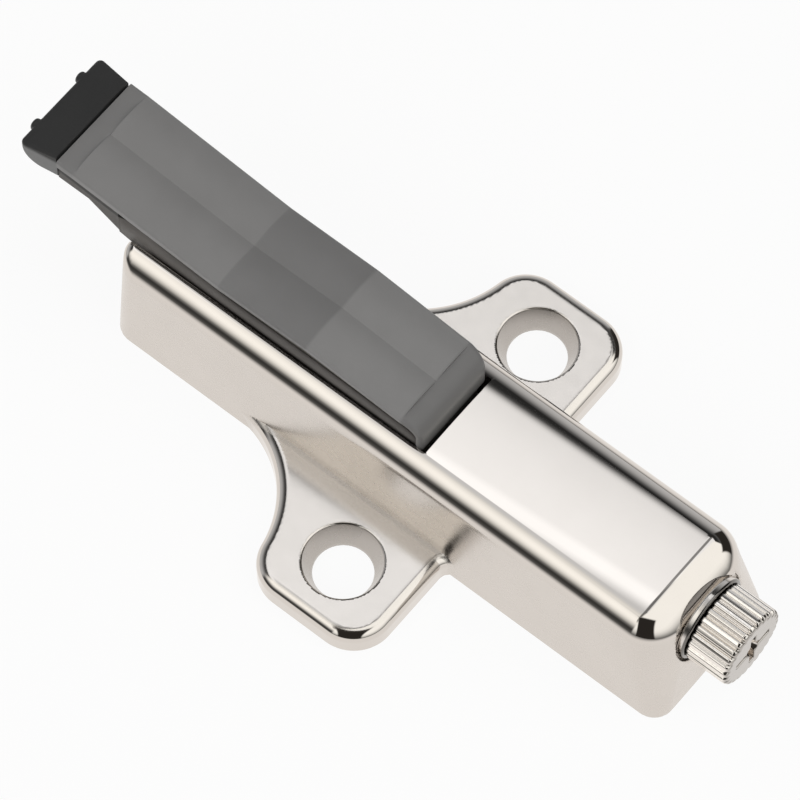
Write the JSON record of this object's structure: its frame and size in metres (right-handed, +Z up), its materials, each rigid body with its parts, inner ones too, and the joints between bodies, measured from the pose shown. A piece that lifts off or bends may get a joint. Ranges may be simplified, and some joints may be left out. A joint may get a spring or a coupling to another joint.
{
  "type": "lever touch latch",
  "caption": "Surface-mounted touch latch: nickel-plated die-cast housing with countersunk screw ears, sprung grey lever with dark nose in a top slot, knurled rear adjusting screw.",
  "frame": {"origin": "midway between the two screw holes on the mounting plane under the housing", "axes": "+X from the lever nose toward the knurled knob, +Y across the housing through both screw holes, +Z up away from the mounting plane"},
  "size_m": [0.0909, 0.0462, 0.0213],
  "materials": {
    "nickel_casting": "bright nickel plate on zinc die casting",
    "nickel_turned": "nickel-plated turned part",
    "steel": "zinc-plated steel",
    "grey_plastic": "satin mid-grey moulding",
    "dark_plastic": "satin near-black moulding",
    "nose_rubber": "matt dark grey soft moulding",
    "white_plastic": "natural acetal moulding"
  },
  "bodies": {
    "frame": {"housing": "nickel_casting", "base_plate": "steel", "base_screws": "steel", "hinge_pin": "steel", "wire_spring": "steel", "stop_buffer": "nose_rubber", "main_spring": "steel", "collar": "nickel_turned", "thrust_washer": "white_plastic"},
    "lever": {"lever_core": "dark_plastic", "lever_cover": "grey_plastic", "nose": "nose_rubber", "hinge_bush": "dark_plastic", "roller_pin": "steel", "cam_plate": "dark_plastic"},
    "roller": {"tail_roller": "white_plastic"},
    "plunger": {"plunger": "white_plastic"},
    "cam_wire": {"cam_wire": "steel"},
    "adjuster": {"adjuster_screw": "nickel_turned", "retaining_clip": "steel"},
    "nut": {"adjuster_nut": "steel"}
  },
  "joints": [
    {"name": "lever_press", "type": "hinge", "parent": "frame", "child": "lever", "pos_m": [-0.003, 0, 0.0105], "axis": [0, -1, 0], "range_deg": [0, 6.5], "stiffness_Nm_per_rad": 1.2, "springref_deg": -20.05},
    {"name": "roller_turn", "type": "hinge", "parent": "lever", "child": "roller", "pos_m": [0.00063, 0, 0.0048], "axis": [0, 1, 0], "range_deg": [-1, 21]},
    {"name": "plunger_slide", "type": "slide", "parent": "frame", "child": "plunger", "axis": [1, 0, 0], "range_m": [-0.00001, 0.00068], "deforming": ["main_spring"]},
    {"name": "cam_wire_swing", "type": "hinge", "parent": "frame", "child": "cam_wire", "pos_m": [-0.023, -0.0055, 0.004], "axis": [0, 1, 0], "range_deg": [-1, 14.5]},
    {"name": "knob_turn", "type": "hinge", "parent": "frame", "child": "adjuster", "pos_m": [0.037, 0, 0.0092], "axis": [1, 0, 0], "range_deg": [0, 3601]},
    {"name": "nut_slide", "type": "slide", "parent": "frame", "child": "nut", "axis": [-1, 0, 0], "range_m": [0, 0.005], "deforming": ["main_spring"]}
  ],
  "couplings": [
    {"joint": "plunger_slide", "follows": "lever_press", "m_per_rad": 0.00548},
    {"joint": "cam_wire_swing", "follows": "lever_press", "ratio": 2.06},
    {"joint": "roller_turn", "follows": "lever_press", "ratio": 2.95},
    {"joint": "knob_turn", "follows": "nut_slide", "rad_per_m": 12566}
  ]
}
